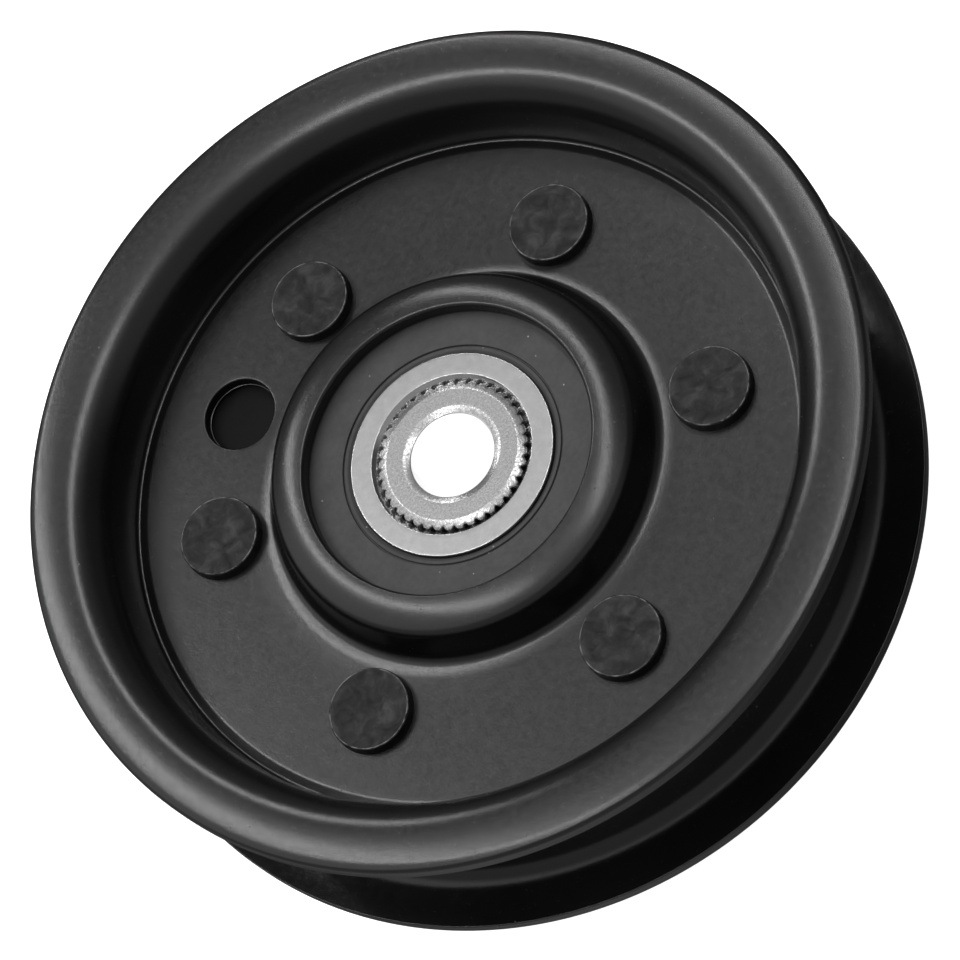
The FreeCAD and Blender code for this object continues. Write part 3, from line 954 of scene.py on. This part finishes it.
def add_gradient(nodes, links, direction, toward, span, values, smooth=False):
    """A value that goes from values[0] to values[1] as directions turn towards a vector."""
    dot = nodes.new("ShaderNodeVectorMath")
    dot.operation = "DOT_PRODUCT"
    dot.inputs[1].default_value = facing_camera_azimuth(toward)
    links.new(direction, dot.inputs[0])
    fall = nodes.new("ShaderNodeMapRange")
    if smooth:
        fall.interpolation_type = "SMOOTHSTEP"
    fall.inputs["From Min"].default_value, fall.inputs["From Max"].default_value = span
    fall.inputs["To Min"].default_value, fall.inputs["To Max"].default_value = values
    links.new(dot.outputs["Value"], fall.inputs["Value"])
    return fall.outputs["Result"]


def add_world():
    """Dim room for reflections, pale where the camera sees past the floor."""
    world = bpy.data.worlds.new("room")
    world.use_nodes = True
    bpy.context.scene.world = world
    nodes = world.node_tree.nodes
    links = world.node_tree.links
    room = nodes["Background"]
    direction = nodes.new("ShaderNodeTexCoord").outputs["Generated"]
    fall = add_gradient(nodes, links, direction, ROOM_MIRRORED, (0.45, 0.72), (0.22, 0.62), True)
    slant = add_gradient(nodes, links, direction, ROOM_ASIDE, (-0.2, 0.2), (1.7, 0.36))
    both = nodes.new("ShaderNodeMath")
    both.operation = "MULTIPLY"
    links.new(fall, both.inputs[0])
    links.new(slant, both.inputs[1])
    links.new(both.outputs["Value"], room.inputs["Strength"])
    room.inputs["Color"].default_value = (1, 1, 1, 1)
    pale = nodes.new("ShaderNodeBackground")
    pale.inputs["Color"].default_value = (1, 1, 1, 1)
    pale.inputs["Strength"].default_value = PALE_RADIANCE
    path = nodes.new("ShaderNodeLightPath")
    mix = nodes.new("ShaderNodeMixShader")
    links.new(path.outputs["Is Camera Ray"], mix.inputs["Fac"])
    links.new(room.outputs["Background"], mix.inputs[1])
    links.new(pale.outputs["Background"], mix.inputs[2])
    links.new(mix.outputs["Shader"], nodes["World Output"].inputs["Surface"])


def add_floor():
    """Pale light-table floor that the pulley lies on."""
    height = CAD_BOX[0].z - FLOOR_GAP
    corners = [(x * FLOOR_SIZE, y * FLOOR_SIZE, height)
               for x, y in ((-1, -1), (1, -1), (1, 1), (-1, 1))]
    mesh = bpy.data.meshes.new("floor")
    mesh.from_pydata(corners, [], [(0, 1, 2, 3)])
    finish = Finish("floor_pale", (0.8, 0.8, 0.8), 0.0, 0.8, 0.2)
    finish.shader.inputs["Emission Color"].default_value = (1, 1, 1, 1)
    finish.shader.inputs["Emission Strength"].default_value = PALE_RADIANCE
    finish.color(finish.ramp(finish.noise(0.01, 2), (0.3, 0.68), (0.7, 0.72)))
    mesh.materials.append(finish.material)
    floor = bpy.data.objects.new("floor", mesh)
    bpy.context.scene.collection.objects.link(floor)
    floor.visible_glossy = False


# ---------------------------------------------------------------- the pulley
def dress(nodes, material):
    """Gives carried-over CAD nodes a finished material."""
    for name in nodes:
        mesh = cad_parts[name].data
        mesh.materials.clear()
        mesh.materials.append(material)


def add_halves():
    coat = black_ecoat()
    painted_shade = painted_shade_coat()
    front = pressed_half(FRONT_HALF_WIDTH).waved(3.1)
    rear = pressed_half(REAR_HALF_WIDTH).waved(8.7).turned_over()
    pieces = [show("front_half", front, coat, "pulley", "front_sheave_half"),
              show("rear_half", rear, coat, "pulley", "rear_sheave_half")]
    # faces where the halves meet take the darker coat: painted shade seen through the tooling hole
    for piece in pieces:
        piece.data.materials.append(painted_shade)
        for face in piece.data.polygons:
            if abs(face.center.z) < TOUCH * MM:
                face.material_index = 1


def mark_pressed_and_side_shade(mesh, centre, seed):
    """Records where a rivet head is darker: a ring and a central spot that the riveting tool left, and
    painted shade all round the head's side.
    """
    layer = mesh.color_attributes.new("pressed_and_side_shade", "FLOAT_COLOR", "POINT")
    for vertex, entry in zip(mesh.vertices, layer.data):
        place = vertex.co / MM - centre
        r = math.hypot(place.x, place.y)
        patch = 0.5 + noise.noise(Vector((place.x, place.y, seed * 5)) * 0.4)
        ring = math.exp(-((r - 3.8) / 0.55) ** 2) * min(max(patch, 0), 1)
        spot = math.exp(-(r / 0.9) ** 2)
        # painted shade: the head's side beyond the rim is darkened all round
        side = 1.0 if r > RIVET_RIM_R[1] else 0.0
        value = min(0.75 * ring + 0.7 * spot + 0.6 * side, 1)
        entry.color = (value, value, value, 1)


def add_rivets():
    finish = rivet_finish()
    rim = rivet_rim()
    for seed, node in enumerate(RIVET_NODES):
        centre = centre_of(node)
        piece = show(f"{node}_heads", rivet_skin(centre, seed), finish, "pulley",
                     node)
        piece.data.materials.append(rim)
        for face in piece.data.polygons:
            middle = face.center / MM
            reach = math.hypot(middle.x - centre.x, middle.y - centre.y)
            if RIVET_RIM_R[0] < reach < RIVET_RIM_R[1] and abs(middle.z) > RIVET_TOP - 0.12:
                face.material_index = 1
        mark_pressed_and_side_shade(piece.data, centre, seed)


def add_bearing():
    rubber = seal_rubber()
    steel = ground_steel()
    seal = seal_skin()
    show("seal_front", seal, rubber, "pulley", "front_seal")
    show("seal_rear", seal.turned_over(), rubber, "pulley", "rear_seal")
    show("race_inner", inner_race_skin(), steel, "core", "inner_race")
    sleeve = show("sleeve", sleeve_skin(), sintered_steel(), "core",
                  "bolt_sleeve")
    sleeve.data.materials.append(burnished_bore())
    for face in sleeve.data.polygons:
        if math.hypot(face.center.x, face.center.y) < (BOLT_HOLE_R + 0.2) * MM:
            face.material_index = 1
    dress(["outer_race"], steel)
    dress(BALL_NODES, ball_steel())
    dress(["cage_front", "cage_rear", "cage_rivets", "front_seal_core", "rear_seal_core"],
          cage_steel())


bpy.context.scene.view_settings.view_transform = "Standard"
add_camera()
add_lights()
add_world()
add_floor()
add_halves()
add_rivets()
add_bearing()
